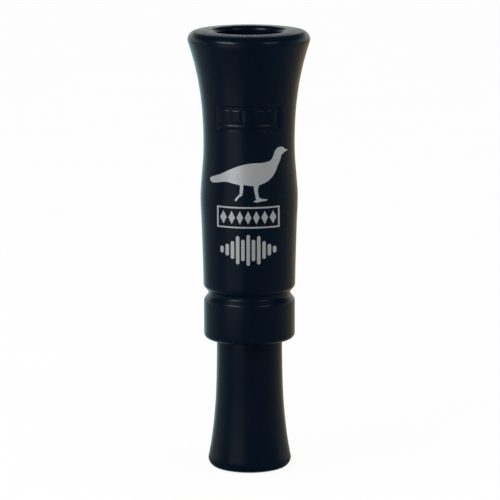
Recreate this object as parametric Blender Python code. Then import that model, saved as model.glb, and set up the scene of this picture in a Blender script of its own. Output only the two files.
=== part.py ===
"""Mouth-blown reed call in two moulded halves.

The call stands on the bell of its insert, with its axis on +Z and its mouth end up. The
barrel has a wide lip, a waisted grip, a lanyard groove and a plain band. The insert has a
bell, a stem, and a tenon that two O-rings hold in the barrel. A reed on a tone board, held
down by a wedge, plugs into the tenon. Sizes are in millimetres until MM makes them metres.
"""

import math

import bmesh
import bpy
from mathutils import Matrix, Vector

MM = 0.001
SIDES = 48
CLEAR = 0.3

# Barrel, outside: heights are above the bell's rim.
CALL_HEIGHT = 127.25
LIP_RADIUS = 17.5
LIP_ROUND = 2.3
LIP_CROWN_RADIUS = 45.0
LIP_UNDERCUT_DEG = -20.0
GRIP_STATIONS = [
    (16.17, 120.0),
    (15.17, 116.0),
    (14.38, 112.0),
    (13.58, 106.0),
    (13.14, 99.0),
    (13.12, 92.0),
    (13.56, 86.0),
    (13.97, 79.5),
    (13.71, 72.0),
    (13.37, 61.0),
]
GRIP_FOOT_RADIUS = 13.2
GROOVE_RADIUS = 11.85
GROOVE_Z = 51.45
GROOVE_HALF_WIDTH = 2.05
BAND_RADIUS = 13.12
BAND_ROUND = 1.5
BARREL_BOTTOM = 38.05

# Barrel, inside: the bore has a little draft, and a step that seats on the stem's shoulder.
MOUTH_ROUND = 1.3
BORE_TOP_RADIUS = 9.8
BORE_STEP_RADIUS = 9.2
STEP_Z = 42.5
COUNTERBORE_RADIUS = 9.75
ENTRY_CHAMFER = 0.3

# Recessed panel on the front of the grip: a plain rectangle.
PANEL_HALF_WIDTH = 8.9
PANEL_HALF_HEIGHT = 3.55
PANEL_Z = 103.6
PANEL_DEPTH = 0.4
PANEL_COLUMNS = 16
PANEL_ROWS = 4

# Insert: bell, stem and tenon.
BELL_RADIUS = 11.98
BELL_ROUND = 2.75
BELL_STATIONS = [
    (11.38, 6.0),
    (10.78, 10.0),
    (10.23, 15.0),
    (9.83, 20.0),
    (9.58, 26.0),
]
STEM_RADIUS = 9.43
STEM_STRAIGHT_Z = 34.0
TENON_RADIUS = 8.9
TENON_TOP = 60.0
TENON_CHAMFER = 0.5
BELL_MOUTH_RADIUS = 8.2
BELL_MOUTH_CHAMFER = 0.5
HORN_STATIONS = [
    (6.4, 6.5),
    (5.3, 13.0),
    (4.75, 21.0),
]
PASSAGE_RADIUS = 4.6
PASSAGE_STRAIGHT_Z = 30.0
SOCKET_RADIUS = 6.5
SOCKET_FLOOR = 40.7

# O-rings, each in a square groove on the tenon.
RING_HEIGHTS = {"o_ring_lower": 47.0, "o_ring_upper": 55.5}
RING_CENTRE_RADIUS = 8.32
RING_SECTION_RADIUS = 0.8
RING_SECTION_SIDES = 8
RING_GROOVE_RADIUS = 7.4
RING_GROOVE_WIDTH = 2.0

# Reed works: a tone board, a reed on its facing, and a wedge.
BOARD_RADIUS = 6.2
BOARD_BOTTOM = SOCKET_FLOOR + CLEAR
BOARD_FLAT_Y = -0.6
BOARD_NOSE = [(102.2, 6.2), (103.4, 5.8), (104.0, 5.0)]
FACING_SLOPE = 0.02
FACING_CURVE = 0.0005
FACING_STEPS = 6
TROUGH_HALF_WIDTH = 3.2
TROUGH_TOP = 100.5
TROUGH_CENTRE_Y = 0.2
REED_THICKNESS = 0.35
REED_HALF_WIDTH = 4.8
REED_TIP_ROUND = 2.4
REED_TOP = 101.5
REED_BACK_Y = BOARD_FLAT_Y - CLEAR
REED_FRONT_Y = REED_BACK_Y - REED_THICKNESS
REED_HINGE_Z = 67.85
WEDGE_FLAT_Y = REED_FRONT_Y - CLEAR
WEDGE_TOP = REED_HINGE_Z - CLEAR / 2
WEDGE_TIP_RADIUS = 4.4


def clear_scene():
    for old in list(bpy.data.objects):
        bpy.data.objects.remove(old)


def make_material(name, colour, roughness, metallic=0.0):
    material = bpy.data.materials.new(name)
    material.use_nodes = True
    shader = material.node_tree.nodes["Principled BSDF"]
    shader.inputs["Base Color"].default_value = (*colour, 1.0)
    shader.inputs["Roughness"].default_value = roughness
    shader.inputs["Metallic"].default_value = metallic
    material.diffuse_color = (*colour, 1.0)
    return material


def add_object(name, mesh_builder, material, location=(0.0, 0.0, 0.0), parent=None):
    """Turn a bmesh in millimetres into a named object whose origin is at location, in mm."""
    origin = Vector(location)
    bmesh.ops.transform(mesh_builder, matrix=Matrix.Translation(-origin), verts=mesh_builder.verts)
    bmesh.ops.scale(mesh_builder, vec=(MM, MM, MM), verts=mesh_builder.verts)
    bmesh.ops.recalc_face_normals(mesh_builder, faces=mesh_builder.faces)
    mesh = bpy.data.meshes.new(name)
    mesh_builder.to_mesh(mesh)
    mesh_builder.free()
    if material is not None:
        mesh.materials.append(material)
    mesh.shade_smooth()
    mesh.set_sharp_from_angle(angle=math.radians(35.0))
    piece = bpy.data.objects.new(name, mesh)
    bpy.context.collection.objects.link(piece)
    piece.location = origin * MM
    if parent is not None:
        piece.parent = parent
        piece.location = origin * MM - parent.location
    return piece


def add_empty(name, location):
    empty = bpy.data.objects.new(name, None)
    bpy.context.collection.objects.link(empty)
    empty.location = Vector(location) * MM
    return empty


def cut(target, cutter):
    """Subtract a cutter that stays in the scene as a hidden guide."""
    cutter.hide_render = True
    cutter.display_type = "WIRE"
    boolean = target.modifiers.new("cut_" + cutter.name, "BOOLEAN")
    boolean.operation = "DIFFERENCE"
    boolean.solver = "EXACT"
    boolean.object = cutter


def arc(centre_r, centre_z, radius, start_deg, end_deg, steps):
    """Points of a quarter-round or similar, as (radius, height) pairs."""
    points = []
    for i in range(steps + 1):
        angle = math.radians(start_deg + (end_deg - start_deg) * i / steps)
        points.append((centre_r + radius * math.cos(angle), centre_z + radius * math.sin(angle)))
    return points


def smooth_through(stations, steps):
    """A cubic curve through stations of (radius, height), with steps points in each span."""
    last = len(stations) - 1
    slopes = []
    for i in range(last + 1):
        before = stations[max(i - 1, 0)]
        after = stations[min(i + 1, last)]
        slopes.append((after[0] - before[0]) / (after[1] - before[1]))
    points = []
    for i in range(last):
        (r0, z0), (r1, z1) = stations[i], stations[i + 1]
        span = z1 - z0
        for k in range(steps):
            t = k / steps
            start_weight = 2 * t**3 - 3 * t**2 + 1
            end_weight = 1 - start_weight
            start_slope = (t**3 - 2 * t**2 + t) * span * slopes[i]
            end_slope = (t**3 - t**2) * span * slopes[i + 1]
            points.append((start_weight * r0 + end_weight * r1 + start_slope + end_slope, z0 + t * span))
    points.append(stations[-1])
    return points


def turned(outline, sides=SIDES):
    """Spin a closed outline of (radius, height) pairs round the Z axis."""
    builder = bmesh.new()
    verts = [builder.verts.new((r, 0.0, z)) for r, z in outline]
    edges = [builder.edges.new((verts[i - 1], verts[i])) for i in range(len(verts))]
    bmesh.ops.spin(
        builder,
        geom=verts + edges,
        cent=(0.0, 0.0, 0.0),
        axis=(0.0, 0.0, 1.0),
        angle=2 * math.pi,
        steps=sides,
        use_merge=True,
    )
    bmesh.ops.remove_doubles(builder, verts=builder.verts, dist=1e-4)
    return builder


def loft(rings):
    """Join rings of equal point counts into one closed body, with a flat cap at each end."""
    builder = bmesh.new()
    loops = [[builder.verts.new(point) for point in ring] for ring in rings]
    count = len(loops[0])
    for lower, upper in zip(loops, loops[1:]):
        for i in range(count):
            j = (i + 1) % count
            builder.faces.new((lower[i], lower[j], upper[j], upper[i]))
    builder.faces.new(loops[0][::-1])
    builder.faces.new(loops[-1])
    return builder


def lip_outline():
    """A crown that falls gently from the mouth's crest, then a round edge that turns under."""
    crest_r = BORE_TOP_RADIUS + MOUTH_ROUND
    crown_z = CALL_HEIGHT - LIP_CROWN_RADIUS
    edge_r = LIP_RADIUS - LIP_ROUND
    reach = LIP_CROWN_RADIUS - LIP_ROUND
    fall = math.asin((edge_r - crest_r) / reach)
    edge_deg = 90.0 - math.degrees(fall)
    crown = arc(crest_r, crown_z, LIP_CROWN_RADIUS, 90.0, edge_deg, 3)
    edge = arc(edge_r, crown_z + reach * math.cos(fall), LIP_ROUND, edge_deg, LIP_UNDERCUT_DEG, 8)
    return crown + edge[1:]


def grip_outline():
    """The barrel's outside, from the mouth's crest down to the band's lower edge."""
    lip = lip_outline()
    groove_top = (GRIP_FOOT_RADIUS, GROOVE_Z + GROOVE_HALF_WIDTH)
    grip = smooth_through([lip[-1]] + GRIP_STATIONS + [groove_top], 2)
    valley = [(GROOVE_RADIUS, GROOVE_Z), (BAND_RADIUS, GROOVE_Z - GROOVE_HALF_WIDTH)]
    foot = arc(BAND_RADIUS - BAND_ROUND, BARREL_BOTTOM + BAND_ROUND, BAND_ROUND, 0.0, -90.0, 4)
    return lip + grip[1:] + valley + foot


def grip_radius(height):
    """The outside radius of the grip at a height, between the points of its outline."""
    points = grip_outline()
    for (r_above, z_above), (r_below, z_below) in zip(points, points[1:]):
        if z_below <= height <= z_above and z_above > z_below:
            share = (height - z_below) / (z_above - z_below)
            return r_below + (r_above - r_below) * share
    return BAND_RADIUS


def barrel_outline():
    entry_r = COUNTERBORE_RADIUS + ENTRY_CHAMFER
    inside = [
        (entry_r, BARREL_BOTTOM),
        (COUNTERBORE_RADIUS, BARREL_BOTTOM + ENTRY_CHAMFER),
        (COUNTERBORE_RADIUS, STEP_Z),
        (BORE_STEP_RADIUS, STEP_Z),
    ]
    mouth_z = CALL_HEIGHT - MOUTH_ROUND
    mouth = arc(BORE_TOP_RADIUS + MOUTH_ROUND, mouth_z, MOUTH_ROUND, 180.0, 90.0, 4)
    return grip_outline() + inside + mouth[:-1]


def panel_cutter():
    """A curved slab that follows the grip and reaches PANEL_DEPTH into it."""
    builder = bmesh.new()
    layers = []
    for reach in (-PANEL_DEPTH, 2.0):
        rows = []
        for j in range(PANEL_ROWS + 1):
            height = PANEL_Z + PANEL_HALF_HEIGHT * (2 * j / PANEL_ROWS - 1)
            radius = grip_radius(height) + reach
            row = []
            for i in range(PANEL_COLUMNS + 1):
                x = PANEL_HALF_WIDTH * (2 * i / PANEL_COLUMNS - 1)
                row.append(builder.verts.new((x, -math.sqrt(radius**2 - x**2), height)))
            rows.append(row)
        layers.append(rows)
    inner, outer = layers
    for j in range(PANEL_ROWS):
        for i in range(PANEL_COLUMNS):
            for rows in layers:
                builder.faces.new((rows[j][i], rows[j][i + 1], rows[j + 1][i + 1], rows[j + 1][i]))
    for i in range(PANEL_COLUMNS):
        for j in (0, -1):
            builder.faces.new((inner[j][i], inner[j][i + 1], outer[j][i + 1], outer[j][i]))
    for j in range(PANEL_ROWS):
        for i in (0, -1):
            builder.faces.new((inner[j][i], inner[j + 1][i], outer[j + 1][i], outer[j][i]))
    return builder


def make_barrel(parent):
    plastic = make_material("barrel_black_plastic", (0.006, 0.009, 0.012), 0.38)
    barrel = add_object("barrel", turned(barrel_outline()), plastic, parent=parent)
    cutter = add_object("panel_cutter", panel_cutter(), None, parent=parent)
    cut(barrel, cutter)


def insert_outline():
    bell = arc(BELL_RADIUS - BELL_ROUND, BELL_ROUND, BELL_ROUND, -90.0, 0.0, 5)
    flare = smooth_through([bell[-1]] + BELL_STATIONS + [(STEM_RADIUS, STEM_STRAIGHT_Z)], 2)
    shoulder_z = STEP_Z - CLEAR
    shoulder = [(STEM_RADIUS, shoulder_z), (TENON_RADIUS, shoulder_z)]
    grooves = []
    for height in sorted(RING_HEIGHTS.values()):
        low = height - RING_GROOVE_WIDTH / 2
        high = height + RING_GROOVE_WIDTH / 2
        grooves += [(TENON_RADIUS, low), (RING_GROOVE_RADIUS, low)]
        grooves += [(RING_GROOVE_RADIUS, high), (TENON_RADIUS, high)]
    tenon_end = [
        (TENON_RADIUS, TENON_TOP - TENON_CHAMFER),
        (TENON_RADIUS - TENON_CHAMFER, TENON_TOP),
        (SOCKET_RADIUS + CLEAR, TENON_TOP),
        (SOCKET_RADIUS, TENON_TOP - CLEAR),
        (SOCKET_RADIUS, SOCKET_FLOOR),
        (PASSAGE_RADIUS, SOCKET_FLOOR),
    ]
    lip_z = BELL_MOUTH_CHAMFER
    horn_ends = [(BELL_MOUTH_RADIUS - BELL_MOUTH_CHAMFER, lip_z), (PASSAGE_RADIUS, PASSAGE_STRAIGHT_Z)]
    horn = smooth_through([horn_ends[0]] + HORN_STATIONS + [horn_ends[1]], 2)
    return bell + flare[1:] + shoulder + grooves + tenon_end + horn[::-1] + [(BELL_MOUTH_RADIUS, 0.0)]


def make_insert():
    plastic = make_material("insert_black_plastic", (0.006, 0.009, 0.012), 0.34)
    return add_object("insert", turned(insert_outline()), plastic)


def make_o_rings(parent):
    rubber = make_material("o_ring_rubber", (0.012, 0.012, 0.012), 0.6)
    for name, height in RING_HEIGHTS.items():
        step = 360.0 / RING_SECTION_SIDES
        outline = arc(RING_CENTRE_RADIUS, height, RING_SECTION_RADIUS, 0.0, 360.0 - step, RING_SECTION_SIDES - 1)
        add_object(name, turned(outline), rubber, parent=parent)


def segment_ring(height, radius, flat_y, side, steps=20):
    """The part of a circle on one side (+1 back, -1 front) of a flat at flat_y, at one height."""
    start = math.asin(side * flat_y / radius)
    ring = []
    for i in range(steps + 1):
        angle = start + (math.pi - 2 * start) * i / steps
        ring.append((radius * math.cos(angle), side * radius * math.sin(angle), height))
    return ring


def facing_y(height):
    """The facing falls away from the reed, ever faster, beyond the point where the wedge lets go."""
    beyond = max(height - REED_HINGE_Z, 0.0)
    return BOARD_FLAT_Y + FACING_SLOPE * beyond + FACING_CURVE * beyond**2


def trough_cutter():
    outline = [(TROUGH_HALF_WIDTH, -TROUGH_HALF_WIDTH)]
    for i in range(9):
        angle = math.pi * i / 8
        outline.append((TROUGH_HALF_WIDTH * math.cos(angle), TROUGH_CENTRE_Y + TROUGH_HALF_WIDTH * math.sin(angle)))
    outline.append((-TROUGH_HALF_WIDTH, -TROUGH_HALF_WIDTH))
    return loft([[(x, y, z) for x, y in outline] for z in (BOARD_BOTTOM - 1.0, TROUGH_TOP)])


def make_tone_board(parent):
    plastic = make_material("tone_board_plastic", (0.05, 0.055, 0.05), 0.45)
    nose_start = BOARD_NOSE[0][0]
    heights = [BOARD_BOTTOM]
    for i in range(FACING_STEPS):
        heights.append(REED_HINGE_Z + (nose_start - REED_HINGE_Z) * i / FACING_STEPS)
    rings = [segment_ring(z, BOARD_RADIUS, facing_y(z), 1) for z in heights]
    rings += [segment_ring(z, radius, facing_y(z), 1) for z, radius in BOARD_NOSE]
    board = add_object("tone_board", loft(rings), plastic, parent=parent)
    cutter = add_object("trough_cutter", trough_cutter(), None, parent=parent)
    cut(board, cutter)


def make_wedge(parent):
    cork = make_material("wedge_cork", (0.42, 0.27, 0.15), 0.85)
    sections = [(BOARD_BOTTOM, BOARD_RADIUS), (TENON_TOP, BOARD_RADIUS), (WEDGE_TOP, WEDGE_TIP_RADIUS)]
    rings = [segment_ring(z, radius, WEDGE_FLAT_Y, -1) for z, radius in sections]
    add_object("wedge", loft(rings), cork, parent=parent)


def reed_strip(low, high, tip_round):
    """A flat strip; its upper corners are rounded when tip_round is more than 0."""
    outline = [(-REED_HALF_WIDTH, low), (REED_HALF_WIDTH, low)]
    if tip_round > 0:
        corner_x = REED_HALF_WIDTH - tip_round
        right = arc(corner_x, high - tip_round, tip_round, 0.0, 90.0, 5)
        outline += right + [(-x, z) for x, z in reversed(right)]
    else:
        outline += [(REED_HALF_WIDTH, high), (-REED_HALF_WIDTH, high)]
    return loft([[(x, y, z) for x, z in outline] for y in (REED_FRONT_Y, REED_BACK_Y)])


def make_reed(parent):
    film = make_material("reed_film", (0.62, 0.64, 0.6), 0.3)
    middle_y = (REED_FRONT_Y + REED_BACK_Y) / 2
    hinge = (0.0, middle_y, REED_HINGE_Z)
    root = reed_strip(BOARD_BOTTOM, REED_HINGE_Z - CLEAR / 2, 0.0)
    add_object("reed_root", root, film, parent=parent)
    tongue = reed_strip(REED_HINGE_Z + CLEAR / 2, REED_TOP, REED_TIP_ROUND)
    add_object("reed_tongue", tongue, film, location=hinge, parent=parent)


def main():
    clear_scene()
    insert = make_insert()
    axis = add_empty("call_axis", (0.0, 0.0, 0.0))
    make_barrel(axis)
    make_o_rings(axis)
    make_tone_board(insert)
    make_wedge(insert)
    make_reed(insert)


main()
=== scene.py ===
"""Looks of the mouth-blown reed call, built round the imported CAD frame.

Sizes are in millimetres until MM makes them metres. The call's axis is +Z, and -Y is its front.
"""

import math

import bmesh
import bpy
import numpy as np
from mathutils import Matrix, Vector


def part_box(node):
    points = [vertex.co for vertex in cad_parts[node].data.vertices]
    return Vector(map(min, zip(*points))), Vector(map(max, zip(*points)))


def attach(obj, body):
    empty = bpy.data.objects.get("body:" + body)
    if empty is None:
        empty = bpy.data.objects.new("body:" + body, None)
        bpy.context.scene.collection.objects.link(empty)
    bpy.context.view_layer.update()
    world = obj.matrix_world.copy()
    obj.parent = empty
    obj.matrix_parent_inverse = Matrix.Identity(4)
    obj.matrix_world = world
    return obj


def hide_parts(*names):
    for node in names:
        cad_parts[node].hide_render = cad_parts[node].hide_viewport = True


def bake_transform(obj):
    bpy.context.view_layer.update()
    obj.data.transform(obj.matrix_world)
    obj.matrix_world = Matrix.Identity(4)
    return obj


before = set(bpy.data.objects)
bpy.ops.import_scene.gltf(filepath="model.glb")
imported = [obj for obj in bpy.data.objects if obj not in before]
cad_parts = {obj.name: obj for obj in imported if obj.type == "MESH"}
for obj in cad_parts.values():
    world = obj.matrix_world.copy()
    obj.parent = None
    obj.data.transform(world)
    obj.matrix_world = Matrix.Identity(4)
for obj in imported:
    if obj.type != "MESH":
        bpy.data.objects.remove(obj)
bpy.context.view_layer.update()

MM = 0.001


# ---------------------------------------------------------------- driving dimensions

def box_mm(node):
    low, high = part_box(node)
    return [value / MM for value in low], [value / MM for value in high]


BARREL_LOW, BARREL_HIGH = box_mm("barrel")
INSERT_HIGH = box_mm("insert")[1]
BOARD_LOW, BOARD_HIGH = box_mm("tone_board")
WEDGE_LOW, WEDGE_HIGH = box_mm("wedge")
ROOT_LOW, ROOT_HIGH = box_mm("reed_root")
TONGUE_LOW, TONGUE_HIGH = box_mm("reed_tongue")

CALL_HEIGHT = BARREL_HIGH[2]
BARREL_BOTTOM = BARREL_LOW[2]
TENON_TOP = INSERT_HIGH[2]

LIP_RADIUS = 17.5
LIP_ROUND = 2.3
LIP_CROWN_RADIUS = 45.0
LIP_UNDERCUT_DEG = -20.0
GRIP_STATIONS = [
    (16.17, 120.0),
    (15.17, 116.0),
    (14.38, 112.0),
    (13.58, 106.0),
    (13.14, 99.0),
    (13.12, 92.0),
    (13.56, 86.0),
    (13.97, 79.5),
    (13.71, 72.0),
    (13.37, 61.0),
]
GRIP_FOOT_RADIUS = 13.2
GROOVE_RADIUS = 11.85
GROOVE_Z = 51.45
GROOVE_HALF_WIDTH = 2.05
GROOVE_FLAT_HALF_WIDTH = 0.4
GROOVE_EDGE_ROUND = 1.1
GROOVE_FLOOR_ROUND = 0.8
BAND_RADIUS = 13.12
BAND_ROUND = 1.5
MOUTH_ROUND = 1.3
BORE_TOP_RADIUS = 9.8
BORE_STEP_RADIUS = 9.2
STEP_Z = 42.5
COUNTERBORE_RADIUS = 9.75
SMALL_ROUND = 0.25

BELL_RADIUS = 11.98
BELL_ROUND = 2.75
BELL_STATIONS = [
    (11.38, 6.0),
    (10.78, 10.0),
    (10.23, 15.0),
    (9.83, 20.0),
    (9.58, 26.0),
]
STEM_RADIUS = 9.43
STEM_STRAIGHT_Z = 34.0
SHOULDER_Z = 42.2
TENON_RADIUS = 8.9
BELL_MOUTH_RADIUS = 8.2
HORN_STATIONS = [
    (6.4, 6.5),
    (5.3, 13.0),
    (4.75, 21.0),
]
PASSAGE_RADIUS = 4.6
PASSAGE_STRAIGHT_Z = 30.0
SOCKET_RADIUS = 6.5
SOCKET_FLOOR = 40.7
TENON_END_ROUND = 0.5
SOCKET_MOUTH_ROUND = 0.3
SOCKET_FLOOR_ROUND = 0.2
BELL_MOUTH_ROUND = 0.5

RING_HEIGHTS = {"o_ring_lower": 47.0, "o_ring_upper": 55.5}
RING_CENTRE_RADIUS = 8.32
RING_SECTION_RADIUS = 0.8
RING_GROOVE_RADIUS = 7.4
RING_GROOVE_WIDTH = 2.0
RING_GROOVE_EDGE_ROUND = 0.15
RING_GROOVE_ROOT_ROUND = 0.2

PANEL_HALF_WIDTH = 8.9
PANEL_HALF_HEIGHT = 3.55
PANEL_Z = 103.6
PANEL_DEPTH = 0.4

FRONT_DEG = -90.0

CROWN_STEPS = 8
LIP_EDGE_STEPS = 18
GRIP_STEPS = 8
BAND_FOOT_STEPS = 10
MOUTH_STEPS = 12
BELL_STEPS = 14
FLARE_STEPS = 6
RIM_STEPS = 5
CORNER_STEPS = 5
WORKS_CORNER_STEPS = 4
PLAIN_SIDES = 110
INSERT_SIDES = 160
RING_SIDES = 128
RING_SECTION_SIDES = 24

SHELL_SHARP_DEG = 38.0
FINE_SHARP_DEG = 35.0
RING_SHARP_DEG = 80.0


# ---------------------------------------------------------------- outlines

def arc(centre_r, centre_z, radius, start_deg, end_deg, steps):
    points = []
    for i in range(steps + 1):
        angle = math.radians(start_deg + (end_deg - start_deg) * i / steps)
        points.append((centre_r + radius * math.cos(angle), centre_z + radius * math.sin(angle)))
    return points


def smooth_through(stations, steps):
    """A cubic curve through stations of (radius, height), with steps points in each span."""
    last = len(stations) - 1
    slopes = []
    for i in range(last + 1):
        before = stations[max(i - 1, 0)]
        after = stations[min(i + 1, last)]
        slopes.append((after[0] - before[0]) / (after[1] - before[1]))
    points = []
    for i in range(last):
        (r0, z0), (r1, z1) = stations[i], stations[i + 1]
        span = z1 - z0
        for k in range(steps):
            t = k / steps
            start_weight = 2 * t**3 - 3 * t**2 + 1
            start_slope = (t**3 - 2 * t**2 + t) * span * slopes[i]
            end_slope = (t**3 - t**2) * span * slopes[i + 1]
            radius = start_weight * r0 + (1 - start_weight) * r1 + start_slope + end_slope
            points.append((radius, z0 + t * span))
    points.append(stations[-1])
    return points


def rounded(corners, steps=CORNER_STEPS):
    """Points of a path whose corners (r, z, radius) are rounded; radius 0 keeps the corner."""
    points = [corners[0][:2]]
    for before, corner, after in zip(corners, corners[1:], corners[2:]):
        here = Vector(corner[:2])
        if corner[2] <= 0:
            points.append(tuple(here))
            continue
        to_before = (Vector(before[:2]) - here).normalized()
        to_after = (Vector(after[:2]) - here).normalized()
        half_angle = to_before.angle(to_after) / 2
        reach = corner[2] / math.tan(half_angle)
        centre = here + (to_before + to_after).normalized() * (corner[2] / math.sin(half_angle))
        start = here + to_before * reach - centre
        end = here + to_after * reach - centre
        turn = start.angle_signed(end)
        for i in range(steps + 1):
            angle = turn * i / steps
            cosine, sine = math.cos(-angle), math.sin(-angle)
            x = centre.x + start.x * cosine - start.y * sine
            y = centre.y + start.x * sine + start.y * cosine
            points.append((x, y))
    points.append(corners[-1][:2])
    return points


def lip_outline():
    """A crown that falls gently from the mouth's crest, then a round edge that turns under."""
    crest_r = BORE_TOP_RADIUS + MOUTH_ROUND
    crown_z = CALL_HEIGHT - LIP_CROWN_RADIUS
    edge_r = LIP_RADIUS - LIP_ROUND
    reach = LIP_CROWN_RADIUS - LIP_ROUND
    fall = math.asin((edge_r - crest_r) / reach)
    edge_deg = 90.0 - math.degrees(fall)
    edge_z = crown_z + reach * math.cos(fall)
    crown = arc(crest_r, crown_z, LIP_CROWN_RADIUS, 90.0, edge_deg, CROWN_STEPS)
    edge = arc(edge_r, edge_z, LIP_ROUND, edge_deg, LIP_UNDERCUT_DEG, LIP_EDGE_STEPS)
    return crown + edge[1:]


GRIP_TOP = lip_outline()
GRIP_FOOT = (GRIP_FOOT_RADIUS, GROOVE_Z + GROOVE_HALF_WIDTH)
GRIP_CURVE = smooth_through([GRIP_TOP[-1]] + GRIP_STATIONS + [GRIP_FOOT], GRIP_STEPS)


def grip_radius(height):
    """The grip's outside radius at a height."""
    heights = [z for r, z in reversed(GRIP_CURVE)]
    radii = [r for r, z in reversed(GRIP_CURVE)]
    return float(np.interp(height, heights, radii))


# ---------------------------------------------------------------- meshes

def finish_mesh(name, builder, sharp_deg):
    bmesh.ops.recalc_face_normals(builder, faces=builder.faces)
    bmesh.ops.scale(builder, vec=(MM, MM, MM), verts=builder.verts)
    mesh = bpy.data.meshes.new(name)
    builder.to_mesh(mesh)
    builder.free()
    mesh.shade_smooth()
    mesh.set_sharp_from_angle(angle=math.radians(sharp_deg))
    piece = bpy.data.objects.new(name, mesh)
    bpy.context.collection.objects.link(piece)
    return piece


def turned(outline, angles_deg, relief=None):
    """A closed outline of (radius, height) pairs, swept round the axis through the angles.

    relief(index, x, z, front) gives how far a point moves out along its radius. index is the
    point's place in the outline, and front is true on the -Y half.
    """
    builder = bmesh.new()
    rings = []
    for angle_deg in angles_deg:
        angle = math.radians(angle_deg)
        cosine, sine = math.cos(angle), math.sin(angle)
        ring = []
        for index, (r, z) in enumerate(outline):
            if relief is not None:
                r = r + relief(index, r * cosine, z, sine < 0)
            ring.append(builder.verts.new((r * cosine, r * sine, z)))
        rings.append(ring)
    count = len(outline)
    for i in range(len(rings)):
        here, ahead = rings[i - 1], rings[i]
        for j in range(count):
            k = (j + 1) % count
            builder.faces.new((here[j], ahead[j], ahead[k], here[k]))
    return builder


def even_angles(count):
    return [FRONT_DEG + 360.0 * i / count for i in range(count)]


# ---------------------------------------------------------------- barrel

PANEL_CELL = 0.1
PANEL_MARGIN = 0.4
BLOCK_COUNT = 5
BLOCK_PITCH = 3.35
BLOCK_HALF_WIDTH = 1.3
BLOCK_LOW_Z = 102.35
BLOCK_HIGH_Z = 105.8
RULE_HALF_WIDTH = 8.0
RULE_LOW_Z = 100.75
RULE_HIGH_Z = 101.55
RAISED = 0.17
LEVEL_SOFTNESS = 0.38
UPRIGHT_SOFTNESS = 1.1


def soft_step(distance, softness):
    """0 outside, 1 inside, with a short soft step between."""
    t = min(max(distance / softness + 0.5, 0.0), 1.0)
    return t * t * (3 - 2 * t)


def raised_box(x, z, half_width, low, high):
    """1 inside a rectangle whose upright edges are softer than its level ones."""
    side = soft_step(half_width - abs(x), UPRIGHT_SOFTNESS)
    return side * soft_step(min(z - low, high - z), LEVEL_SOFTNESS)


def panel_relief(x, z):
    """Height over the grip inside the recessed panel: a row of plain blocks over a rule."""
    panel_low, panel_high = PANEL_Z - PANEL_HALF_HEIGHT, PANEL_Z + PANEL_HALF_HEIGHT
    floor = raised_box(x, z, PANEL_HALF_WIDTH, panel_low, panel_high)
    rule = raised_box(x, z, RULE_HALF_WIDTH, RULE_LOW_Z, RULE_HIGH_Z)
    nearest = round(x / BLOCK_PITCH)
    block = 0.0
    if abs(nearest) <= (BLOCK_COUNT - 1) / 2:
        from_middle = x - nearest * BLOCK_PITCH
        block = raised_box(from_middle, z, BLOCK_HALF_WIDTH, BLOCK_LOW_Z, BLOCK_HIGH_Z)
    return RAISED * max(rule, block) - PANEL_DEPTH * floor


def make_barrel():
    panel_low = PANEL_Z - PANEL_HALF_HEIGHT - PANEL_MARGIN
    panel_high = PANEL_Z + PANEL_HALF_HEIGHT + PANEL_MARGIN
    rows = int((panel_high - panel_low) / PANEL_CELL)
    grip = [p for p in GRIP_CURVE[1:-1] if not panel_low <= p[1] <= panel_high]
    for i in range(rows + 1):
        z = panel_high + (panel_low - panel_high) * i / rows
        grip.append((grip_radius(z), z))
    grip.sort(key=lambda point: -point[1])
    groove = rounded(
        [
            (*grip[-1], 0.0),
            (*GRIP_FOOT, GROOVE_EDGE_ROUND),
            (GROOVE_RADIUS, GROOVE_Z + GROOVE_FLAT_HALF_WIDTH, GROOVE_FLOOR_ROUND),
            (GROOVE_RADIUS, GROOVE_Z - GROOVE_FLAT_HALF_WIDTH, GROOVE_FLOOR_ROUND),
            (BAND_RADIUS, GROOVE_Z - GROOVE_HALF_WIDTH, GROOVE_EDGE_ROUND),
            (BAND_RADIUS, BARREL_BOTTOM + BAND_ROUND, 0.0),
        ]
    )
    foot_r, foot_z = BAND_RADIUS - BAND_ROUND, BARREL_BOTTOM + BAND_ROUND
    foot = arc(foot_r, foot_z, BAND_ROUND, 0.0, -90.0, BAND_FOOT_STEPS)
    inside = rounded(
        [
            (*foot[-1], 0.0),
            (COUNTERBORE_RADIUS, BARREL_BOTTOM, SMALL_ROUND),
            (COUNTERBORE_RADIUS, STEP_Z, SMALL_ROUND),
            (BORE_STEP_RADIUS, STEP_Z, SMALL_ROUND),
            (BORE_TOP_RADIUS, CALL_HEIGHT - MOUTH_ROUND, 0.0),
        ]
    )
    mouth_r, mouth_z = BORE_TOP_RADIUS + MOUTH_ROUND, CALL_HEIGHT - MOUTH_ROUND
    mouth = arc(mouth_r, mouth_z, MOUTH_ROUND, 180.0, 90.0, MOUTH_STEPS)
    outline = GRIP_TOP + grip + groove[1:-1] + foot + inside[1:-1] + mouth[:-1]
    first_grip, last_grip = len(GRIP_TOP), len(GRIP_TOP) + len(grip) - 1

    waist = grip_radius(PANEL_Z)
    half_span = math.degrees(math.asin((PANEL_HALF_WIDTH + PANEL_MARGIN) / waist))
    fine = int(math.radians(2 * half_span) * waist / PANEL_CELL)
    rest_span = 360.0 - 2 * half_span
    angles = [FRONT_DEG - half_span + 2 * half_span * i / fine for i in range(fine)]
    angles += [FRONT_DEG + half_span + rest_span * i / PLAIN_SIDES for i in range(PLAIN_SIDES)]

    def relief(index, x, z, front):
        on_panel = front and first_grip <= index <= last_grip and panel_low < z < panel_high
        return panel_relief(x, z) if on_panel else 0.0

    piece = finish_mesh("barrel_shell", turned(outline, angles, relief), SHELL_SHARP_DEG)
    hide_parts("barrel")
    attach(piece, "barrel")
    return piece


# ---------------------------------------------------------------- insert and reed works

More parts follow.
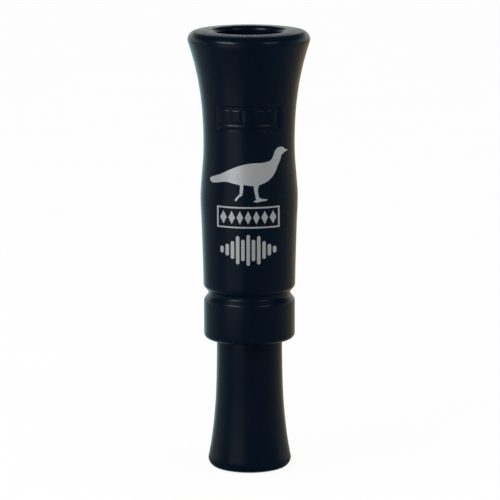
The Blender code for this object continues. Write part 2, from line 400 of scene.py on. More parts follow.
def make_insert():
    bell = arc(BELL_RADIUS - BELL_ROUND, BELL_ROUND, BELL_ROUND, -90.0, 0.0, BELL_STEPS)
    stem_foot = (STEM_RADIUS, STEM_STRAIGHT_Z)
    flare = smooth_through([bell[-1]] + BELL_STATIONS + [stem_foot], FLARE_STEPS)
    corners = [
        (*flare[-1], 0.0),
        (STEM_RADIUS, SHOULDER_Z, SMALL_ROUND),
        (TENON_RADIUS, SHOULDER_Z, 0.0),
    ]
    for height in sorted(RING_HEIGHTS.values()):
        low = height - RING_GROOVE_WIDTH / 2
        high = height + RING_GROOVE_WIDTH / 2
        corners += [
            (TENON_RADIUS, low, RING_GROOVE_EDGE_ROUND),
            (RING_GROOVE_RADIUS, low, RING_GROOVE_ROOT_ROUND),
            (RING_GROOVE_RADIUS, high, RING_GROOVE_ROOT_ROUND),
            (TENON_RADIUS, high, RING_GROOVE_EDGE_ROUND),
        ]
    corners += [
        (TENON_RADIUS, TENON_TOP, TENON_END_ROUND),
        (SOCKET_RADIUS, TENON_TOP, SOCKET_MOUTH_ROUND),
        (SOCKET_RADIUS, SOCKET_FLOOR, SOCKET_FLOOR_ROUND),
        (PASSAGE_RADIUS, SOCKET_FLOOR, SOCKET_FLOOR_ROUND),
        (PASSAGE_RADIUS, PASSAGE_STRAIGHT_Z, 0.0),
    ]
    works = rounded(corners, WORKS_CORNER_STEPS)
    rim = arc(BELL_MOUTH_RADIUS, BELL_MOUTH_ROUND, BELL_MOUTH_ROUND, 180.0, 270.0, RIM_STEPS)
    horn_top = (PASSAGE_RADIUS, PASSAGE_STRAIGHT_Z)
    horn = smooth_through([rim[0]] + HORN_STATIONS + [horn_top], FLARE_STEPS)
    outline = bell + flare[1:] + works[1:-1] + horn[::-1] + rim[1:]
    piece = finish_mesh("insert_shell", turned(outline, even_angles(INSERT_SIDES)), SHELL_SHARP_DEG)
    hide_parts("insert")
    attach(piece, "insert")
    return piece


def make_o_rings():
    pieces = []
    last_deg = 360.0 - 360.0 / RING_SECTION_SIDES
    steps = RING_SECTION_SIDES - 1
    for name, height in RING_HEIGHTS.items():
        outline = arc(RING_CENTRE_RADIUS, height, RING_SECTION_RADIUS, 0.0, last_deg, steps)
        ring = turned(outline, even_angles(RING_SIDES))
        piece = finish_mesh(name + "_rubber", ring, RING_SHARP_DEG)
        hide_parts(name)
        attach(piece, "seals")
        pieces.append(piece)
    return pieces


SOFT_EDGE_DEG = 50.0
MERGE_GAP = 0.006

BOARD_RADIUS = 6.2
BOARD_FLAT_Y = -0.6
BOARD_FOOT = [(0.0, 0.35), (0.1, 0.17), (0.35, 0.0)]
BOARD_FOOT_HEIGHT = 0.35
BOARD_STRAIGHT_SHORTER = 2.6
BOARD_STRAIGHT_STEPS = 40
BOARD_NOSE = 1.9
BOARD_NOSE_TAPER = 0.62
BOARD_NOSE_STEPS = 8
BOARD_FLAT_TAPER = 0.3
BOARD_BEVEL = 0.08
BOARD_BEVEL_SEGMENTS = 2
FACING_SLOPE = 0.02
FACING_CURVE = 0.0005
REED_HINGE_Z = (ROOT_HIGH[2] + TONGUE_LOW[2]) / 2
TROUGH_HALF_WIDTH = 3.2
TROUGH_CENTRE_Y = 0.2
TROUGH_TOP = 100.5
TROUGH_RUN_OUT = 1.6
TROUGH_END_DEPTH = 0.03

WEDGE_FOOT_ROUND = 0.3
WEDGE_STEPS = 12
WEDGE_RAMP_DROP = 1.8
WEDGE_RAMP_POWER = 1.6
WEDGE_BEVEL = 0.15
WEDGE_BEVEL_SEGMENTS = 3

REED_TIP_ROUND = 2.4
REED_STEPS = 90
REED_TIP_STEPS = 10
REED_CURL = 0.00012


def soften(piece, width, segments):
    """Bevel a piece's sharp edges, then merge the points that the bevel leaves too close."""
    bevel = piece.modifiers.new("soft_edges", "BEVEL")
    bevel.width = width * MM
    bevel.segments = segments
    bevel.angle_limit = math.radians(SOFT_EDGE_DEG)
    weld = piece.modifiers.new("clean_edges", "WELD")
    weld.merge_threshold = MERGE_GAP * MM


def facing_y(height):
    """The tone board's flat, which falls away from the reed above the hinge."""
    beyond = max(height - REED_HINGE_Z, 0.0)
    return BOARD_FLAT_Y + FACING_SLOPE * beyond + FACING_CURVE * beyond**2


def loft(rings):
    """Join rings of equal point counts into one closed body, with a flat cap at each end."""
    builder = bmesh.new()
    loops = [[builder.verts.new(point) for point in ring] for ring in rings]
    count = len(loops[0])
    for lower, upper in zip(loops, loops[1:]):
        for i in range(count):
            j = (i + 1) % count
            builder.faces.new((lower[i], lower[j], upper[j], upper[i]))
    builder.faces.new(loops[0][::-1])
    builder.faces.new(loops[-1])
    return builder


def segment_points(radius, flat_y, side, steps=48):
    """Round part of a half-round section, from one end of its flat to the other."""
    start = math.asin(side * flat_y / radius)
    points = []
    for i in range(steps + 1):
        angle = start + (math.pi - 2 * start) * i / steps
        points.append((radius * math.cos(angle), side * radius * math.sin(angle)))
    return points


def trough_points(flat_y, depth_share, steps=16):
    """The trough's wall, from its left edge round its floor to its right edge."""
    points = [(-TROUGH_HALF_WIDTH, flat_y)]
    for i in range(steps + 1):
        angle = math.pi * (1 - i / steps)
        y = TROUGH_CENTRE_Y + TROUGH_HALF_WIDTH * math.sin(angle)
        points.append((TROUGH_HALF_WIDTH * math.cos(angle), flat_y + (y - flat_y) * depth_share))
    points.append((TROUGH_HALF_WIDTH, flat_y))
    return points


def make_tone_board():
    """A half-round rod with a trough in its flat. Each station is (height, shrink)."""
    bottom, top = BOARD_LOW[2], BOARD_HIGH[2]
    stations = [(bottom + rise, shrink) for rise, shrink in BOARD_FOOT]
    straight_low = bottom + BOARD_FOOT_HEIGHT
    straight = top - BOARD_STRAIGHT_SHORTER - bottom
    for i in range(1, BOARD_STRAIGHT_STEPS + 1):
        stations.append((straight_low + straight * i / BOARD_STRAIGHT_STEPS, 0.0))
    for i in range(1, BOARD_NOSE_STEPS + 1):
        angle = math.pi / 2 * i / BOARD_NOSE_STEPS
        height = top - BOARD_NOSE + BOARD_NOSE * math.sin(angle)
        stations.append((height, BOARD_NOSE * BOARD_NOSE_TAPER * (1 - math.cos(angle))))
    rings = []
    for z, shrink in stations:
        flat_y = facing_y(z) + shrink * BOARD_FLAT_TAPER
        beyond = max(z - TROUGH_TOP + TROUGH_RUN_OUT, 0.0) / TROUGH_RUN_OUT
        depth = math.sqrt(max(1.0 - beyond**2, 0.0))
        outer = segment_points(BOARD_RADIUS - shrink, flat_y, 1)
        trough = trough_points(flat_y, max(depth, TROUGH_END_DEPTH))
        rings.append([(x, y, z) for x, y in outer + trough])
    piece = finish_mesh("tone_board_rod", loft(rings), FINE_SHARP_DEG)
    soften(piece, BOARD_BEVEL, BOARD_BEVEL_SEGMENTS)
    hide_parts("tone_board")
    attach(piece, "insert")
    return piece


def make_wedge():
    """A half-round block that ramps down above the tenon. Each station is (height, shrink)."""
    low, high = WEDGE_LOW[2], WEDGE_HIGH[2]
    flat_y = WEDGE_HIGH[1]
    straight_low = low + WEDGE_FOOT_ROUND
    stations = [(low, WEDGE_FOOT_ROUND), (straight_low, 0.0)]
    for i in range(1, WEDGE_STEPS + 1):
        stations.append((straight_low + (TENON_TOP - low) * i / WEDGE_STEPS, 0.0))
    ramp_low = stations[-1][0]
    for i in range(1, WEDGE_STEPS + 1):
        share = i / WEDGE_STEPS
        height = ramp_low + (high - ramp_low) * share
        stations.append((height, WEDGE_RAMP_DROP * share**WEDGE_RAMP_POWER))
    rings = []
    for z, shrink in stations:
        rings.append([(x, y, z) for x, y in segment_points(BOARD_RADIUS - shrink, flat_y, -1)])
    piece = finish_mesh("wedge_block", loft(rings), FINE_SHARP_DEG)
    soften(piece, WEDGE_BEVEL, WEDGE_BEVEL_SEGMENTS)
    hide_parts("wedge")
    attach(piece, "insert")
    return piece


def make_reed():
    """One strip of film, clamped below the hinge and free above it."""
    low, high = ROOT_LOW[2], TONGUE_HIGH[2]
    half_width = TONGUE_HIGH[0]
    front, back = TONGUE_LOW[1], TONGUE_HIGH[1]
    tip_low = high - REED_TIP_ROUND
    rows = [low + (tip_low - low) * i / REED_STEPS for i in range(REED_STEPS + 1)]
    for i in range(1, REED_TIP_STEPS + 1):
        rows.append(tip_low + REED_TIP_ROUND * math.sin(math.pi / 2 * i / REED_TIP_STEPS))
    rings = []
    for z in rows:
        rise = max(z - tip_low, 0.0)
        width = half_width - REED_TIP_ROUND + math.sqrt(max(REED_TIP_ROUND**2 - rise**2, 0.0))
        lift = REED_CURL * max(z - REED_HINGE_Z, 0.0) ** 2
        near, far = front - lift, back - lift
        rings.append([(-width, near, z), (width, near, z), (width, far, z), (-width, far, z)])
    piece = finish_mesh("reed_film_strip", loft(rings), FINE_SHARP_DEG)
    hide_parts("reed_root", "reed_tongue")
    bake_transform(piece)
    return piece


# ---------------------------------------------------------------- silver print

PRINT_PROUD = 0.035
PRINT_THICKNESS = 0.06
PRINT_CELL = 0.45
CUT_SNAP = 0.01
BAR_END_STEPS = 8

BIRD_FOOT_Z = 79.8
BIRD_BACK = [
    (-10.2, 5.0),
    (-10.9, 5.7),
    (-10.5, 6.6),
    (-8.0, 7.7),
    (-5.0, 9.3),
    (-2.0, 10.5),
    (1.0, 11.1),
    (4.0, 11.2),
    (6.2, 11.7),
    (7.1, 12.9),
    (7.5, 14.2),
    (8.5, 15.3),
    (9.7, 15.2),
    (10.3, 14.6),
]
BIRD_BEAK = [(11.2, 14.1), (10.2, 13.7)]
BIRD_BREAST = [
    (10.2, 13.7),
    (9.4, 12.9),
    (9.0, 11.5),
    (8.3, 10.0),
    (7.7, 8.4),
    (6.6, 6.8),
    (5.0, 5.6),
    (3.1, 4.9),
]
BIRD_NEAR_LEG = [
    (2.75, 3.5),
    (3.15, 1.3),
    (4.2, 0.95),
    (5.5, 0.75),
    (5.3, 0.45),
    (3.9, 0.3),
    (2.5, 0.0),
    (1.5, 0.25),
    (2.3, 0.75),
    (1.75, 3.3),
    (1.6, 4.7),
]
BIRD_BELLY = [(1.6, 4.7), (0.2, 4.8), (-1.3, 5.1)]
BIRD_FAR_LEG = [
    (-1.45, 3.0),
    (-1.7, 2.0),
    (-2.5, 1.5),
    (-3.4, 0.35),
    (-3.9, 0.6),
    (-3.2, 1.6),
    (-2.4, 2.4),
    (-2.3, 4.9),
]
BIRD_TAIL = [(-2.3, 4.9), (-4.2, 5.3), (-6.4, 5.7), (-8.6, 5.3), (-10.2, 5.0)]

BAND_LOW_Z = 72.3
BAND_HIGH_Z = 78.5
BAND_HALF_WIDTH = 8.9
BAND_LINE = 0.45
DIAMOND_COUNT = 7
DIAMOND_PITCH = 2.35
DIAMOND_HALF_WIDTH = 0.95
DIAMOND_HALF_HEIGHT = 1.9

WAVE_CENTRE_Z = 65.95
WAVE_PITCH = 1.5
WAVE_HALF_WIDTH = 0.5
WAVE_HEIGHTS = [9.0, 6.2, 8.2, 5.2, 3.4, 2.0]


def open_curve(points, steps=5):
    """A smooth curve through points, which starts at the first and ends at the last."""
    path = [points[0]] + list(points) + [points[-1]]
    smooth = []
    for p0, p1, p2, p3 in zip(path, path[1:], path[2:], path[3:]):
        for k in range(steps):
            t = k / steps
            smooth.append(
                tuple(
                    0.5
                    * (
                        2 * b
                        + (c - a) * t
                        + (2 * a - 5 * b + 4 * c - d) * t**2
                        + (3 * b - a - 3 * c + d) * t**3
                    )
                    for a, b, c, d in zip(p0, p1, p2, p3)
                )
            )
    smooth.append(points[-1])
    return smooth


def bird_outline():
    outline = open_curve(BIRD_BACK)
    outline += BIRD_BEAK[:1]
    outline += open_curve(BIRD_BREAST)
    outline += BIRD_NEAR_LEG[:-1]
    outline += open_curve(BIRD_BELLY)
    outline += BIRD_FAR_LEG[:-1]
    outline += open_curve(BIRD_TAIL)[:-1]
    return [(x, z + BIRD_FOOT_Z) for x, z in outline]


def rectangle(half_width, low, high):
    return [(-half_width, low), (half_width, low), (half_width, high), (-half_width, high)]


def diamond(x, z, half_width, half_height):
    return [(x - half_width, z), (x, z - half_height), (x + half_width, z), (x, z + half_height)]


def upright_bar(x, z, half_width, half_height):
    """A bar with round ends."""
    upper = arc(x, z + half_height - half_width, half_width, 0.0, 180.0, BAR_END_STEPS)
    lower = arc(x, z - half_height + half_width, half_width, 180.0, 360.0, BAR_END_STEPS)
    return upper + lower


def print_skin(name, loops):
    """A thin closed skin of ink on the front of the grip, filled between its loops of (x, z)."""
    builder = bmesh.new()
    for loop in loops:
        verts = [builder.verts.new((x, 0.0, z)) for x, z in loop]
        for i in range(len(verts)):
            builder.edges.new((verts[i - 1], verts[i]))
    bmesh.ops.triangle_fill(builder, use_beauty=True, use_dissolve=False, edges=builder.edges)
    xs = [v.co.x for v in builder.verts]
    zs = [v.co.z for v in builder.verts]
    for axis, low, high in ((0, min(xs), max(xs)), (2, min(zs), max(zs))):
        cuts = int((high - low) / PRINT_CELL)
        for i in range(1, cuts + 1):
            point = Vector((0.0, 0.0, 0.0))
            point[axis] = low + (high - low) * i / (cuts + 1)
            normal = Vector((0.0, 0.0, 0.0))
            normal[axis] = 1.0
            bmesh.ops.bisect_plane(
                builder,
                geom=builder.verts[:] + builder.edges[:] + builder.faces[:],
                plane_co=point,
                plane_no=normal,
                dist=CUT_SNAP,
            )
    bmesh.ops.remove_doubles(builder, verts=builder.verts, dist=MERGE_GAP)
    for vert in builder.verts:
        radius = grip_radius(vert.co.z) + PRINT_PROUD
        vert.co.y = -math.sqrt(radius**2 - vert.co.x**2)
    bmesh.ops.recalc_face_normals(builder, faces=builder.faces)
    if sum(face.normal.y * face.calc_area() for face in builder.faces) > 0:
        bmesh.ops.reverse_faces(builder, faces=builder.faces)
    top_edges = [edge for edge in builder.edges if edge.is_boundary]
    lower = {}
    top_faces = builder.faces[:]
    for vert in builder.verts[:]:
        flat = Vector((vert.co.x, vert.co.y, 0.0)).normalized() * PRINT_THICKNESS
        lower[vert] = builder.verts.new(vert.co - flat)
    for face in top_faces:
        builder.faces.new([lower[v] for v in reversed(face.verts)])
    for edge in top_edges:
        a, b = edge.verts
        builder.faces.new((a, b, lower[b], lower[a]))
    piece = finish_mesh(name, builder, FINE_SHARP_DEG)
    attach(piece, "barrel")
    return piece


def make_prints():
    pieces = [print_skin("print_bird", [bird_outline()])]
    frame_loops = [
        rectangle(BAND_HALF_WIDTH, BAND_LOW_Z, BAND_HIGH_Z),
        rectangle(BAND_HALF_WIDTH - BAND_LINE, BAND_LOW_Z + BAND_LINE, BAND_HIGH_Z - BAND_LINE),
    ]
    pieces.append(print_skin("print_band_frame", frame_loops))
    band_middle = (BAND_LOW_Z + BAND_HIGH_Z) / 2
    half_count = (DIAMOND_COUNT - 1) // 2
    diamonds = [
        diamond(i * DIAMOND_PITCH, band_middle, DIAMOND_HALF_WIDTH, DIAMOND_HALF_HEIGHT)
        for i in range(-half_count, half_count + 1)
    ]
    pieces.append(print_skin("print_band_diamonds", diamonds))
    last = len(WAVE_HEIGHTS) - 1
    bars = [
        upright_bar(i * WAVE_PITCH, WAVE_CENTRE_Z, WAVE_HALF_WIDTH, WAVE_HEIGHTS[abs(i)] / 2)
        for i in range(-last, last + 1)
    ]
    pieces.append(print_skin("print_sound_bars", bars))
    return pieces


# ---------------------------------------------------------------- materials

MIX_FIRST_COLOUR = 6
MIX_SECOND_COLOUR = 7
MIX_COLOUR_RESULT = 2


class Nodes:
    """Adds nodes to one node tree and links them."""

    def __init__(self, tree):
        self.tree = tree
        self.place = tree.nodes.new("ShaderNodeTexCoord").outputs

    def new(self, kind):
        return self.tree.nodes.new("ShaderNode" + kind)

    def feed(self, socket, value):
        """Link an output to a socket, or set the socket to a constant."""
        if isinstance(value, bpy.types.NodeSocket):
            self.tree.links.new(value, socket)
        else:
            socket.default_value = value

    def math(self, operation, *values):
        node = self.new("Math")
        node.operation = operation
        for socket, value in zip(node.inputs, values):
            self.feed(socket, value)
        return node.outputs["Value"]

    def spread(self, source, low, high, source_low=0.0, source_high=1.0, kind="LINEAR"):
        """Map a value from its source range to low and high."""
        node = self.new("MapRange")
        node.interpolation_type = kind
        node.inputs["From Min"].default_value = source_low
        node.inputs["From Max"].default_value = source_high
        node.inputs["To Min"].default_value = low
        node.inputs["To Max"].default_value = high
        self.feed(node.inputs["Value"], source)
        return node.outputs["Result"]

    def ramp(self, source, stops):
        node = self.new("ValToRGB")
        elements = node.color_ramp.elements
        while len(elements) < len(stops):
            elements.new(0.5)
        for element, (position, colour) in zip(elements, stops):
            element.position = position
            element.color = (*colour, 1.0)
        self.feed(node.inputs["Fac"], source)
        return node.outputs["Color"]

    def blend(self, kind, factor, first, second):
        node = self.new("Mix")
        node.data_type = "RGBA"
        node.blend_type = kind
        self.feed(node.inputs["Factor"], factor)
        self.feed(node.inputs[MIX_FIRST_COLOUR], first)
        self.feed(node.inputs[MIX_SECOND_COLOUR], second)
        return node.outputs[MIX_COLOUR_RESULT]


class Shader(Nodes):
    """The nodes of one solid material."""

    def __init__(self, name):
        self.material = bpy.data.materials.new(name)
        self.material.use_nodes = True
        super().__init__(self.material.node_tree)
        self.surface = self.tree.nodes["Principled BSDF"]

    def set(self, **values):
        for name, value in values.items():
            self.surface.inputs[name.replace("_", " ")].default_value = value

    def link(self, source, name):
        self.tree.links.new(source, self.surface.inputs[name])

    def noise(self, size_mm, detail, roughness, stretch=(1.0, 1.0, 1.0)):
        mapping = self.new("Mapping")
        mapping.inputs["Scale"].default_value = stretch
        node = self.new("TexNoise")
        node.inputs["Scale"].default_value = 1.0 / (size_mm * MM)
        node.inputs["Detail"].default_value = detail
        node.inputs["Roughness"].default_value = roughness
        self.feed(mapping.inputs["Vector"], self.place["Object"])
        self.feed(node.inputs["Vector"], mapping.outputs["Vector"])
        return node.outputs["Fac"]

    def cells(self, size_mm, feature="F1"):
        node = self.new("TexVoronoi")
        node.feature = feature
        node.inputs["Scale"].default_value = 1.0 / (size_mm * MM)
        self.feed(node.inputs["Vector"], self.place["Object"])
        return node.outputs

    def bump(self, height, depth_mm):
        node = self.new("Bump")
        node.inputs["Strength"].default_value = 1.0
        node.inputs["Distance"].default_value = depth_mm * MM
        self.feed(node.inputs["Height"], height)
        self.link(node.outputs["Normal"], "Normal")


def moulded_black(name, roughness_low, roughness_high):
    """Black moulded plastic: a fine spark texture, slow flow marks and faint handling haze."""
    shader = Shader(name)
    shader.set(Specular_IOR_Level=0.28, IOR=1.5)
    grain = shader.noise(0.22, 2.0, 0.6)
    flow = shader.noise(9.0, 4.0, 0.6, (1.0, 1.0, 0.35))
    haze = shader.noise(2.6, 5.0, 0.65)
    colour = shader.ramp(flow, [(0.3, (0.0001, 0.0038, 0.0108)), (0.75, (0.0004, 0.005, 0.0125))])
    shader.link(colour, "Base Color")
    rough = shader.spread(haze, roughness_low, roughness_high, 0.3, 0.7)
    shader.link(rough, "Roughness")
    height = shader.math("ADD", shader.spread(grain, 0.0, 1.0), shader.spread(flow, 0.0, 1.6))
    shader.bump(height, 0.0045)
    return shader.material


def silver_ink():
    """Silver ink: fine metal flakes under patches of even cover."""
    shader = Shader("silver_ink")
    shader.set(Metallic=0.72)
    flakes = shader.noise(0.12, 2.0, 0.7)
    cover = shader.noise(1.8, 4.0, 0.6)
    colour = shader.ramp(flakes, [(0.3, (0.62, 0.635, 0.655)), (0.7, (0.8, 0.815, 0.835))])
    worn = shader.ramp(cover, [(0.0, (0.6, 0.615, 0.635)), (1.0, (0.82, 0.835, 0.855))])
    factor = shader.spread(cover, 0.25, 0.75)
    shader.link(shader.blend("MIX", factor, colour, worn), "Base Color")
    shader.link(shader.spread(flakes, 0.34, 0.44), "Roughness")
    shader.bump(flakes, 0.004)
    return shader.material


def board_plastic():
    shader = Shader("tone_board_moulded")
    streaks = shader.noise(1.6, 4.0, 0.6, (1.0, 1.0, 0.2))
    grain = shader.noise(0.3, 2.0, 0.6)
    colour = shader.ramp(streaks, [(0.3, (0.028, 0.031, 0.028)), (0.7, (0.045, 0.048, 0.043))])
    shader.link(colour, "Base Color")
    shader.link(shader.spread(grain, 0.38, 0.52), "Roughness")
    shader.bump(grain, 0.008)
    return shader.material


def reed_film():
    shader = Shader("reed_clear_film")
    shader.set(Transmission_Weight=0.45, IOR=1.55)
    scratches = shader.noise(0.9, 3.0, 0.6, (1.0, 1.0, 0.06))
    clouds = shader.noise(4.0, 3.0, 0.5)
    colour = shader.ramp(clouds, [(0.3, (0.66, 0.69, 0.66)), (0.7, (0.78, 0.8, 0.76))])
    shader.link(colour, "Base Color")
    shader.link(shader.spread(scratches, 0.16, 0.36, 0.3, 0.7), "Roughness")
    shader.bump(scratches, 0.002)
    return shader.material


def ring_rubber():
    shader = Shader("ring_nitrile")
    shader.set(Specular_IOR_Level=0.35)
    bloom = shader.noise(1.4, 4.0, 0.6)
    grain = shader.noise(0.15, 2.0, 0.6)
    colour = shader.ramp(bloom, [(0.3, (0.008, 0.008, 0.009)), (0.8, (0.02, 0.02, 0.021))])
    shader.link(colour, "Base Color")
    shader.link(shader.spread(bloom, 0.42, 0.62), "Roughness")
    shader.bump(grain, 0.006)
    return shader.material


CORK_GRANULE = 1.1


def cork():
    """Pressed cork: pale granules of differing tone, with dark gaps between them."""
    shader = Shader("pressed_cork")
    shader.set(Roughness=0.85, Specular_IOR_Level=0.2)
    to_edge = shader.cells(CORK_GRANULE, "DISTANCE_TO_EDGE")["Distance"]
    tone = shader.ramp(
        shader.cells(CORK_GRANULE)["Color"],
        [(0.1, (0.30, 0.17, 0.085)), (0.5, (0.46, 0.29, 0.16)), (0.9, (0.58, 0.4, 0.24))],
    )
    specks = shader.noise(0.5, 4.0, 0.7)
    dark = shader.ramp(specks, [(0.35, (0.16, 0.08, 0.04)), (0.5, (0.42, 0.27, 0.15))])
    gap = shader.spread(to_edge, 1.0, 0.0, 0.0, 0.08)
    shader.link(shader.blend("MIX", gap, tone, dark), "Base Color")
    shader.bump(to_edge, 0.08)
    return shader.material


def paint(pieces, material):
    for piece in pieces:
        piece.data.materials.clear()
        piece.data.materials.append(material)


# ---------------------------------------------------------------- studio

CAMERA_DISTANCE = 1.099
CAMERA_HEIGHT = 0.2656
CAMERA_AZIMUTH_DEG = 1.3
CAMERA_ROLL_DEG = 0.12
CAMERA_AIM = (0.00021, 0.0, 0.0636)
CAMERA_LENS = 279.6
CAMERA_SENSOR = 36.0
CAMERA_NEAREST = 0.05
CAMERA_FARTHEST = 30.0
SOFTBOX_DISTANCE = 0.9
SOFTBOX_TARGET_HEIGHT = 0.09
DISC_SIDES = 96
FLOOR_RADIUS = 4.0
FLOOR_HEIGHT = -0.00005
FLOOR_GLOW = 0.94
WHITE = (1.0, 1.0, 1.0, 1.0)


def aimed(obj, target):
    direction = Vector(target) - obj.location
    obj.rotation_euler = direction.to_track_quat("-Z", "Y").to_euler()


def make_camera():
    camera = bpy.data.objects.new("camera", bpy.data.cameras.new("camera"))
    bpy.context.collection.objects.link(camera)
    azimuth = math.radians(CAMERA_AZIMUTH_DEG)
    flat = Vector((math.sin(azimuth), -math.cos(azimuth), 0.0)) * CAMERA_DISTANCE
    camera.location = flat + Vector((0.0, 0.0, CAMERA_HEIGHT))
    camera.data.lens = CAMERA_LENS
    camera.data.sensor_width = CAMERA_SENSOR
    camera.data.clip_start = CAMERA_NEAREST
    camera.data.clip_end = CAMERA_FARTHEST
    aimed(camera, CAMERA_AIM)
    camera.rotation_euler.rotate_axis("Z", math.radians(-CAMERA_ROLL_DEG))
    bpy.context.scene.camera = camera


def softbox(name, azimuth_deg, elevation_deg, size, power, colour):
    """A soft light; azimuth 0 stands at the camera's side, and positive is to the right."""
    light = bpy.data.lights.new(name, "AREA")
    light.shape = "RECTANGLE"
    light.size, light.size_y = size
    light.energy = power
    light.color = colour
    lamp = bpy.data.objects.new(name, light)
    bpy.context.collection.objects.link(lamp)
    azimuth, elevation = math.radians(azimuth_deg), math.radians(elevation_deg)
    flat = SOFTBOX_DISTANCE * math.cos(elevation)
    height = SOFTBOX_TARGET_HEIGHT + SOFTBOX_DISTANCE * math.sin(elevation)
    lamp.location = (flat * math.sin(azimuth), -flat * math.cos(azimuth), height)
    lamp.visible_camera = False
    aimed(lamp, (0.0, 0.0, SOFTBOX_TARGET_HEIGHT))


def circle(builder, radius, height):
    angles = [2 * math.pi * i / DISC_SIDES for i in range(DISC_SIDES)]
    return [builder.verts.new((radius * math.cos(a), radius * math.sin(a), height)) for a in angles]


def disc(name, radius, height, hole=0.0):
    """A flat disc in metres, with a round hole if one is given."""
    builder = bmesh.new()
    outer = circle(builder, radius, height)
    if hole > 0:
        inner = circle(builder, hole, height)
        for i in range(DISC_SIDES):
            builder.faces.new((outer[i - 1], outer[i], inner[i], inner[i - 1]))
    else:
        builder.faces.new(outer)
    mesh = bpy.data.meshes.new(name)
    builder.to_mesh(mesh)
    builder.free()
    piece = bpy.data.objects.new(name, mesh)
    bpy.context.collection.objects.link(piece)
    return piece


def make_floor():
    floor = disc("studio_floor", FLOOR_RADIUS, FLOOR_HEIGHT)
    shader = Shader("pale_floor")
    shader.set(Roughness=0.9, Specular_IOR_Level=0.0)
    shader.set(Emission_Color=WHITE, Emission_Strength=FLOOR_GLOW)
    tone = shader.noise(60.0, 2.0, 0.5)
    colour = shader.ramp(tone, [(0.0, (0.05, 0.05, 0.05)), (1.0, (0.06, 0.06, 0.06))])
    shader.link(colour, "Base Color")
    paint([floor], shader.material)


CARD_RADIUS = 3.5
CARD_HEIGHT = 0.0003
CARD_HOLE = 0.0107
CARD_LEFT = [
    (0.0, (0.015, 0.015, 0.015)),
    (0.25, (0.06, 0.07, 0.08)),
    (0.36, (0.09, 0.11, 0.13)),
    (0.49, (0.15, 0.2, 0.2)),
    (0.72, (0.25, 0.3, 0.3)),
    (0.81, (0.3, 0.38, 0.39)),
    (0.88, (0.5, 0.7, 0.75)),
    (0.94, (0.6, 0.98, 1.19)),
    (1.0, (0.62, 1.05, 1.3)),
]
CARD_RIGHT = [
    (0.0, (0.015, 0.015, 0.015)),
    (0.25, (0.07, 0.07, 0.07)),
    (0.36, (0.09, 0.11, 0.1)),
    (0.49, (0.15, 0.16, 0.16)),
    (0.72, (0.3, 0.28, 0.22)),
    (0.81, (0.31, 0.3, 0.23)),
    (0.88, (0.5, 0.45, 0.31)),
    (0.94, (0.62, 0.48, 0.27)),
    (1.0, (0.7, 0.5, 0.25)),
]
CARD_SIDE_BLEND = 0.15
WINDOW_TOWARDS = (-0.61, -0.78, 0.1)
WINDOW_EDGE = 0.88
WINDOW_CORE = 0.985
WINDOW_GLOW = 0.46
WINDOW_NEAR = 0.1
WINDOW_FAR = 0.4
CURVE_LIMIT = 2.0


class Lights(Nodes):
    """The nodes of a glowing card or of the room."""

    def __init__(self, tree):
        tree.nodes.clear()
        super().__init__(tree)

    def vector(self, operation, first, second=None):
        node = self.new("VectorMath")
        node.operation = operation
        self.feed(node.inputs[0], first)
        if second is not None:
            self.feed(node.inputs[1], second)
        gives_value = operation in ("DOT_PRODUCT", "LENGTH")
        return node.outputs["Value" if gives_value else "Vector"]

    def split(self, source):
        node = self.new("SeparateXYZ")
        self.feed(node.inputs["Vector"], source)
        return node.outputs

    def step(self, source, source_low, source_high, low=0.0, high=1.0):
        """A smooth step from low to high across the source range."""
        return self.spread(source, low, high, source_low, source_high, "SMOOTHSTEP")

    def curve(self, source, points):
        """A value read from a curve through points of (value in, value out)."""
        node = self.new("FloatCurve")
        curve = node.mapping.curves[0]
        for point in points[1:-1]:
            curve.points.new(*point)
        curve.points[0].location = points[0]
        curve.points[-1].location = points[-1]
        node.mapping.clip_max_y = CURVE_LIMIT
        node.mapping.update()
        self.feed(node.inputs["Value"], source)
        return node.outputs["Value"]

    def window(self, direction):
        """A soft patch of daylight to the left of the camera."""
        towards = Vector(WINDOW_TOWARDS).normalized()
        facing = self.vector("DOT_PRODUCT", direction, towards)
        return self.step(facing, WINDOW_EDGE, WINDOW_CORE, 0.0, WINDOW_GLOW)


def make_cards():
    """A grey card round the call: it holds the blacks in reflections, and no camera sees it."""
    card = disc("grey_cards", CARD_RADIUS, CARD_HEIGHT, hole=CARD_HOLE)
    material = bpy.data.materials.new("grey_card")
    material.use_nodes = True
    lights = Lights(material.node_tree)
    place = lights.place["Object"]
    unit = lights.vector("NORMALIZE", place)
    axes = lights.split(unit)
    depth = lights.math("MULTIPLY_ADD", axes["Y"], 0.5, 0.5)
    side = lights.step(axes["X"], -CARD_SIDE_BLEND, CARD_SIDE_BLEND)
    left, right = lights.ramp(depth, CARD_LEFT), lights.ramp(depth, CARD_RIGHT)
    grey = lights.blend("MIX", side, left, right)
    far = lights.step(lights.vector("LENGTH", place), WINDOW_NEAR, WINDOW_FAR)
    patch = lights.math("MULTIPLY", lights.window(unit), far)
    glow = lights.new("Emission")
    output = lights.new("OutputMaterial")
    lights.feed(glow.inputs["Color"], lights.blend("ADD", patch, grey, WHITE))
    lights.feed(output.inputs["Surface"], glow.outputs["Emission"])
    paint([card], material)
    card.visible_camera = False
    card.visible_diffuse = False
    card.visible_shadow = False
    card.visible_transmission = False


SKY_PALE = 1.0
SKY_GLOW = [
    (0.0, 0.9),
    (0.14, 0.9),
    (0.19, 0.42),
    (0.24, 0.1),
    (0.35, 0.04),
    (0.7, 0.02),
    (1.0, 0.01),
]
SKY_SIDE_NARROW = 0.05
SKY_SIDE_WIDE = 0.35
SKY_SIDE_RISE = 0.55
SKY_FRONT_Y = -0.3
SKY_BACK_Y = 0.8
SKY_FRONT_SHARE = 0.02
SKY_TINT = (0.95, 1.0, 1.0, 1.0)


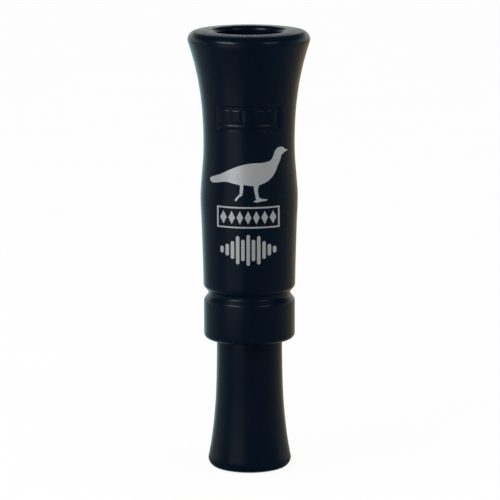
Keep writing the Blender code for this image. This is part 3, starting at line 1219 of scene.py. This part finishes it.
def make_world():
    """A pale even room; in reflections it is dark in front of the call and bright behind it."""
    world = bpy.data.worlds.new("studio_room")
    bpy.context.scene.world = world
    world.use_nodes = True
    lights = Lights(world.node_tree)
    direction = lights.place["Generated"]
    axes = lights.split(direction)
    back = lights.step(axes["Y"], SKY_FRONT_Y, SKY_BACK_Y, SKY_FRONT_SHARE, 1.0)
    sideways = lights.math("ABSOLUTE", axes["X"])
    squeeze = lights.step(sideways, SKY_SIDE_NARROW, SKY_SIDE_WIDE, 1.0, SKY_SIDE_RISE)
    height = lights.curve(lights.math("MULTIPLY", axes["Z"], squeeze), SKY_GLOW)
    behind = lights.math("MULTIPLY", back, height)
    mirrored = lights.new("Background")
    mirrored.inputs["Color"].default_value = SKY_TINT
    lights.feed(mirrored.inputs["Strength"], lights.math("ADD", behind, lights.window(direction)))
    even = lights.new("Background")
    even.inputs["Strength"].default_value = SKY_PALE
    choose = lights.new("MixShader")
    lights.feed(choose.inputs["Fac"], lights.new("LightPath").outputs["Is Glossy Ray"])
    lights.feed(choose.inputs[1], even.outputs["Background"])
    lights.feed(choose.inputs[2], mirrored.outputs["Background"])
    output = lights.new("OutputWorld")
    lights.feed(output.inputs["Surface"], choose.outputs["Shader"])


def make_studio():
    make_camera()
    make_world()
    make_floor()
    make_cards()
    softbox(
        "key_softbox",
        azimuth_deg=-46.0,
        elevation_deg=38.0,
        size=(0.42, 0.2),
        power=2.2,
        colour=(0.95, 1.0, 1.05),
    )
    softbox(
        "fill_softbox",
        azimuth_deg=47.0,
        elevation_deg=36.0,
        size=(0.36, 0.16),
        power=0.5,
        colour=(1.05, 1.0, 0.93),
    )
    bpy.context.scene.view_settings.view_transform = "Standard"


# ---------------------------------------------------------------- build

def main():
    paint([make_barrel()], moulded_black("barrel_black", 0.2, 0.3))
    paint([make_insert()], moulded_black("insert_black", 0.22, 0.32))
    paint(make_o_rings(), ring_rubber())
    paint([make_tone_board()], board_plastic())
    paint([make_wedge()], cork())
    paint([make_reed()], reed_film())
    paint(make_prints(), silver_ink())
    make_studio()


main()
